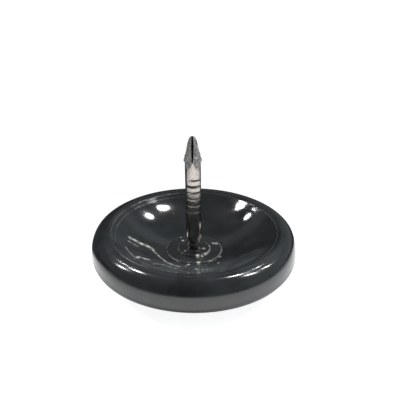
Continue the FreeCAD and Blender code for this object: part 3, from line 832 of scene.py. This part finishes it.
def fibre_spines(draw, count, lengths, bend, depths, arches, rim):
    """Middle lines of curled fibres along the felt's underside, and each one's thickness and shade.

    A fibre is pulled inside the felt's edge, lifted along the felt's slope, and kept off the floor.
    """
    middle_across = (FELT_RADIUS - MIDDLE_INSET) * np.sqrt(draw.uniform(rim, 1.0, count))
    middle_turn = draw.uniform(0, 2 * math.pi, count)
    length = draw.uniform(*lengths, count)
    heading = draw.uniform(0, 2 * math.pi, count)
    curl = draw.normal(0, bend, count)
    thick = draw.uniform(*FIBRE_RADIUS, count)
    depth = draw.uniform(*depths, count)
    arch = draw.uniform(*arches, count)
    shade = draw.beta(*SHADE_LEAN, count)
    share = np.linspace(-0.5, 0.5, FIBRE_POINTS)
    way = heading[:, None] + curl[:, None] * share
    step = length[:, None] / (FIBRE_POINTS - 1)
    x = np.cumsum(np.cos(way) * step, axis=1)
    y = np.cumsum(np.sin(way) * step, axis=1)
    x += (middle_across * np.cos(middle_turn) - x[:, FIBRE_POINTS // 2])[:, None]
    y += (middle_across * np.sin(middle_turn) - y[:, FIBRE_POINTS // 2])[:, None]
    across = np.hypot(x, y)
    pull = np.minimum(1, (FELT_RADIUS - RIM_INSET) / across)
    x, y, across = x * pull, y * pull, across * pull
    lift = depth[:, None] - arch[:, None] * (1 - (2 * share) ** 2)
    slope = np.clip((across - FELT_FLAT_RADIUS) / felt_edge_round, 0, STEEPEST)
    z = felt_low(across) + lift * np.sqrt(1 - slope ** 2)
    spread = 1 - lift * slope / np.maximum(across, 1)
    z = np.maximum(z, thick[:, None] + FLOOR_GAP)
    return np.stack([x * spread, y * spread, z], axis=-1), thick, shade


print("fibres are", 2 * FIBRE_RADIUS[0], "to", 2 * FIBRE_RADIUS[1], "mm thick")

# %% A fibre as a thin tube
FIBRE_SIDES = 3
NEVER_ZERO = 1e-9


def fibre_tubes(spine, thick):
    """Points and faces of three-sided tubes along the middle lines."""
    ahead = np.gradient(spine, axis=1)
    ahead /= np.linalg.norm(ahead, axis=-1, keepdims=True)
    side = np.cross(ahead, (0, 0, 1))
    side /= np.linalg.norm(side, axis=-1, keepdims=True) + NEVER_ZERO
    above = np.cross(side, ahead)
    corners = []
    for corner in range(FIBRE_SIDES):
        about = 2 * math.pi * corner / FIBRE_SIDES
        corners.append(spine + (side * math.cos(about) + above * math.sin(about)) * thick[:, None, None])
    points = np.stack(corners, axis=2)
    first = (np.arange(len(spine)) * FIBRE_POINTS * FIBRE_SIDES)[:, None, None]
    faces = (quad_grid(FIBRE_POINTS, FIBRE_SIDES)[None] + first).reshape(-1, 4)
    return points.reshape(-1, 3), faces


print("each fibre has", FIBRE_POINTS * FIBRE_SIDES, "points")


# %% Lay the fibres
def lay_fibres(name, seed, **habits):
    """A piece of many fibres, which come out the same at each run."""
    spine, thick, shade = fibre_spines(np.random.default_rng(seed), **habits)
    points, faces = fibre_tubes(spine, thick)
    piece = new_piece(name, points, faces, felt, "felt_pad")
    set_values(piece, "shade", np.repeat(shade, FIBRE_POINTS * FIBRE_SIDES))


lay_fibres("felt_fibres", seed=7, count=7600, lengths=(0.7, 2.2), bend=2.0,
           depths=(0.05, 0.2), arches=(-0.05, 0.3), rim=0.0)
lay_fibres("felt_stray_hairs", seed=11, count=700, lengths=(1.0, 2.6), bend=1.4,
           depths=(0.0, 0.12), arches=(0.1, 0.36), rim=0.6)

# %% [markdown]
# ## Floor
# A product photo like this is taken on a sheet of white paper that lies on a grey table. The paper
# shows white to the camera and in the gloss, and still takes a soft shadow. Seen in the bead it ends:
# a little way out it fades into the table, and the far side is painted darker, as painted shade, so
# the gloss goes dark above the paper's edge. A wide floor with a material that fades by distance
# gives this, with no edge in view. Close to the glide a painted shadow dims what the gloss sees of
# the paper.

# %% The paper and the table
SHEET_MIDDLE = (4.0, -10.0, 0.0)
SHEET_RADIUS, SHEET_FADE = 25.0, 46.0
# The far side of the table is painted darker, as painted shade.
DARK_SIDE, DARK_EDGE = (-0.2, 0.98, 0.0), (6.5, 10.0)
PAPER_WHITE, TABLE_GREY, TABLE_PAINTED_SHADE = "#eeeeee", "#7e8286", "#3c3e41"
paper_material, paper = new_material("white_paper_sheet")
floor_place = add(paper, "ShaderNodeNewGeometry").outputs["Position"]
off_middle = add(paper, "ShaderNodeVectorMath", {
    0: floor_place, 1: [value * MM for value in SHEET_MIDDLE]}, operation="DISTANCE").outputs["Value"]
round_sheet = add(paper, "ShaderNodeMapRange", {
    "Value": off_middle, "From Min": SHEET_FADE * MM, "From Max": SHEET_RADIUS * MM}).outputs["Result"]
far_side = add(paper, "ShaderNodeVectorMath", {0: floor_place, 1: DARK_SIDE},
               operation="DOT_PRODUCT").outputs["Value"]
# Painted shade: the floor turns darker on the far side.
painted_far_shade = add(paper, "ShaderNodeMapRange", {
    "Value": far_side, "From Min": DARK_EDGE[0] * MM, "From Max": DARK_EDGE[1] * MM}).outputs["Result"]
sheet = add(paper, "ShaderNodeMapRange", {
    "Value": painted_far_shade, "To Min": round_sheet, "To Max": 0.0}).outputs["Result"]
table = add(paper, "ShaderNodeMix", {
    "Factor": painted_far_shade, "A": linear(TABLE_GREY), "B": linear(TABLE_PAINTED_SHADE)}, data_type="RGBA").outputs["Result"]
floor_colour = add(paper, "ShaderNodeMix", {
    "Factor": sheet, "A": table, "B": linear(PAPER_WHITE)}, data_type="RGBA").outputs["Result"]
print("the paper fades from", SHEET_RADIUS, "to", SHEET_FADE, "mm out")

# %% What the paper shows
SHADOW_SHARE = 0.12
UNDER_SHADE, UNDER_LEVEL = (14.0, 18.0), 0.25
floor_path = add(paper, "ShaderNodeLightPath").outputs
mirrored = add(paper, "ShaderNodeMath", {
    0: floor_path["Is Glossy Ray"], 1: floor_path["Is Transmission Ray"]},
    operation="MAXIMUM").outputs["Value"]
from_glide = add(paper, "ShaderNodeVectorMath", {0: floor_place}, operation="LENGTH").outputs["Value"]
# A painted shadow: close to the glide, the gloss sees less of the paper.
paper_with_painted_shadow = add(paper, "ShaderNodeMapRange", {
    "Value": from_glide, "From Min": UNDER_SHADE[0] * MM, "From Max": UNDER_SHADE[1] * MM,
    "To Min": UNDER_LEVEL, "To Max": sheet}).outputs["Result"]
in_gloss = add(paper, "ShaderNodeMath", {0: mirrored, 1: paper_with_painted_shadow}, operation="MULTIPLY").outputs["Value"]
in_camera = add(paper, "ShaderNodeMapRange", {
    "Value": sheet, "To Min": 1.0, "To Max": 1.0 - SHADOW_SHARE}).outputs["Result"]
shown = add(paper, "ShaderNodeMath", {0: floor_path["Is Camera Ray"], 1: in_camera, 2: in_gloss},
            operation="MULTIPLY_ADD").outputs["Value"]
paper_glow = add(paper, "ShaderNodeEmission", {"Strength": shown})
paper_matt = add(paper, "ShaderNodeBsdfDiffuse", {"Color": floor_colour})
paper_surface = add(paper, "ShaderNodeAddShader", {
    0: paper_glow.outputs["Emission"], 1: paper_matt.outputs["BSDF"]})
add(paper, "ShaderNodeOutputMaterial", {"Surface": paper_surface.outputs["Shader"]})
print("made", paper_material.name)

# %% Lay the floor
FLOOR_HALF = 2.0
floor_mesh = bpy.data.meshes.new("paper_floor")
floor_corners = [(-FLOOR_HALF, -FLOOR_HALF, 0), (FLOOR_HALF, -FLOOR_HALF, 0),
                 (FLOOR_HALF, FLOOR_HALF, 0), (-FLOOR_HALF, FLOOR_HALF, 0)]
floor_mesh.from_pydata(floor_corners, [], [(0, 1, 2, 3)])
floor_mesh.materials.append(paper_material)
paper_floor = bpy.data.objects.new("paper_floor", floor_mesh)
bpy.context.scene.collection.objects.link(paper_floor)
print("the floor is", 2 * FLOOR_HALF, "m wide")

# %% [markdown]
# ## The room
# Between the lamps, the gloss mirrors a plain room. It is a dim grey, paler to the right and a little
# to the left. Behind the glide is a pale band, as of a wall above the table, and some light overhead,
# which give the dish its soft grey. One corner at the far left is darker. The camera itself sees
# white. Nodes on the direction of each ray say this, and no picture of a room is needed.

# %% Walls of the room
SIDE_START, SIDE_END = 0.1, 0.9
RIGHT_LEVEL, LEFT_LEVEL = 0.3, 0.12
DEPTH_REACH, NEAR_LEVEL, FAR_LEVEL = 0.6, 0.13, 0.15
grey_room = bpy.data.worlds.new("grey_room")
grey_room.use_nodes = True
room = grey_room.node_tree
room.nodes.clear()
way = add(room, "ShaderNodeTexCoord").outputs["Generated"]
way_axes = add(room, "ShaderNodeSeparateXYZ", {"Vector": way}).outputs
right = add(room, "ShaderNodeMapRange", {
    "Value": way_axes["X"], "From Min": -SIDE_START, "From Max": SIDE_END,
    "To Max": RIGHT_LEVEL}).outputs["Result"]
left = add(room, "ShaderNodeMapRange", {
    "Value": way_axes["X"], "From Min": -SIDE_START, "From Max": -SIDE_END,
    "To Max": LEFT_LEVEL}).outputs["Result"]
near_or_far = add(room, "ShaderNodeMapRange", {
    "Value": way_axes["Y"], "From Min": -DEPTH_REACH, "From Max": DEPTH_REACH,
    "To Min": NEAR_LEVEL, "To Max": FAR_LEVEL}).outputs["Result"]
sides = add(room, "ShaderNodeMath", {0: right, 1: left}, operation="ADD").outputs["Value"]
walls = add(room, "ShaderNodeMath", {0: sides, 1: near_or_far}, operation="ADD").outputs["Value"]
print("walls from", NEAR_LEVEL, "to", round(RIGHT_LEVEL + FAR_LEVEL, 2), "of white")

# %% The pale band behind, and the dark corner
# Each step has the sine of its height above the floor, and its share of the light behind.
BAND_STEPS = ((0.58, 0.7), (0.66, 0.7), (0.73, 0.0), (0.86, 0.0), (0.92, 0.2))
BAND_FOOT, OVERHEAD_SHARE = 0.5, 0.24
BEHIND_REACH, BEHIND_LEVEL = (-0.3, 0.2), 0.28
CORNER_WAY, CORNER_REACH, CORNER_LEVEL = (-0.45, 0.89, 0.0), (0.7, 0.95), 0.3
band = add(room, "ShaderNodeValToRGB", {"Fac": way_axes["Z"]})
band_stops = band.color_ramp.elements
band_stops[0].position, band_stops[1].position = BAND_FOOT, 1.0
band_stops[0].color, band_stops[1].color = (0, 0, 0, 1), (OVERHEAD_SHARE,) * 3 + (1,)
for position, share in BAND_STEPS:
    band_stops.new(position).color = (share, share, share, 1)
behind = add(room, "ShaderNodeMapRange", {
    "Value": way_axes["Y"], "From Min": BEHIND_REACH[0], "From Max": BEHIND_REACH[1],
    "To Max": BEHIND_LEVEL}).outputs["Result"]
open_room = add(room, "ShaderNodeMath", {0: band.outputs["Color"], 1: behind, 2: walls},
                operation="MULTIPLY_ADD").outputs["Value"]
to_corner = add(room, "ShaderNodeVectorMath", {0: way, 1: CORNER_WAY},
                operation="DOT_PRODUCT").outputs["Value"]
corner_shade = add(room, "ShaderNodeMapRange", {
    "Value": to_corner, "From Min": CORNER_REACH[0], "From Max": CORNER_REACH[1],
    "To Min": 1.0, "To Max": CORNER_LEVEL}).outputs["Result"]
room_level = add(room, "ShaderNodeMath", {0: open_room, 1: corner_shade},
                 operation="MULTIPLY").outputs["Value"]
print("the pale band has", len(band_stops), "steps")

# %% What the room shows
ROOM_TINT, CAMERA_WHITE = "#f2fbff", "#ffffff"
room_path = add(room, "ShaderNodeLightPath").outputs
room_strength = add(room, "ShaderNodeMath", {0: room_level, 1: room_path["Is Camera Ray"]},
                    operation="MAXIMUM").outputs["Value"]
room_tint = add(room, "ShaderNodeMix", {
    "Factor": room_path["Is Camera Ray"], "A": linear(ROOM_TINT), "B": linear(CAMERA_WHITE)},
    data_type="RGBA").outputs["Result"]
room_glow = add(room, "ShaderNodeBackground", {"Color": room_tint, "Strength": room_strength})
add(room, "ShaderNodeOutputWorld", {"Surface": room_glow.outputs["Background"]})
bpy.context.scene.world = grey_room
print("made", grey_room.name, "of", len(room.nodes), "nodes")

# %% [markdown]
# ## Lamps
# The blobs in the dish are pictures of the upper and lower lamps, the streaks on the bead are those
# of the rim lamps, and a weak high lamp gives the sheen on the dish's lip at the far left. Each lamp's
# direction comes from the mirror rule at the place of its highlight, so it is given as a compass turn
# from straight behind the glide and a height above the floor. They are small and bright, which is how
# a lamp looks in black gloss, and together light the glide at a plain level.

# %% Lamps on both sides
# Each lamp has its turn and height in degrees, its width and height in metres, and its radiance.
LAMP_DISTANCE = 0.5
LAMPS = {
    "right_upper": (55.6, 67.0, 0.046, 0.066, 65.0),
    "right_lower": (44.7, 53.9, 0.026, 0.036, 65.0),
    "right_rim_upper": (90.0, 53.0, 0.035, 0.1, 75.0),
    "right_rim_lower": (73.0, 43.0, 0.025, 0.08, 70.0),
    "right_high": (70.0, 61.0, 0.02, 0.06, 22.0),
    "left_upper": (-61.3, 58.2, 0.068, 0.054, 65.0),
    "left_lower": (-45.4, 48.9, 0.026, 0.03, 65.0),
    "left_rim": (-78.0, 41.0, 0.035, 0.08, 75.0),
}
for name, (compass, up, wide, tall, radiance) in LAMPS.items():
    lamp = bpy.data.lights.new(name, "AREA")
    lamp.shape = "ELLIPSE"
    lamp.size, lamp.size_y = wide, tall
    ellipse_area = math.pi / 4 * wide * tall
    lamp.energy = radiance * math.pi * ellipse_area
    lamp_object = bpy.data.objects.new(name, lamp)
    bpy.context.scene.collection.objects.link(lamp_object)
    lamp_turn, lamp_rise = math.radians(compass), math.radians(up)
    toward = Vector((math.sin(lamp_turn) * math.cos(lamp_rise), math.cos(lamp_turn) * math.cos(lamp_rise),
                     math.sin(lamp_rise)))
    lamp_object.location = toward * LAMP_DISTANCE
    lamp_object.rotation_mode = "QUATERNION"
    lamp_object.rotation_quaternion = toward.to_track_quat("Z", "Y")
    print(name, "gives", round(lamp.energy, 2), "W")

# %% [markdown]
# ## Camera
# The photo was taken close up, from a little above. The camera's place, tilt and lens were fitted to
# the outline of the body, and the small roll is that of the photo. Depth of field stays off, so that
# the glide is sharp from every other side too.

# %% The camera
CAMERA_PLACE = (0.765, -89.544, 56.728)
CAMERA_PITCH, CAMERA_ROLL = 26.994, 0.453
LENS, SENSOR = 67.65, 36.0
CLIP_NEAR, CLIP_FAR = 0.005, 20.0
camera = bpy.data.cameras.new("camera")
camera.lens, camera.sensor_width = LENS, SENSOR
camera.clip_start, camera.clip_end = CLIP_NEAR, CLIP_FAR
camera_object = bpy.data.objects.new("camera", camera)
bpy.context.scene.collection.objects.link(camera_object)
tilt = Matrix.Rotation(math.radians(90 - CAMERA_PITCH), 4, "X")
roll = Matrix.Rotation(math.radians(CAMERA_ROLL), 4, "Z")
camera_object.matrix_world = Matrix.Translation(Vector(CAMERA_PLACE) * MM) @ tilt @ roll
bpy.context.scene.camera = camera_object
bpy.context.scene.view_settings.view_transform = "Standard"
print("the camera is", round(Vector(CAMERA_PLACE).length, 1), "mm from the glide")
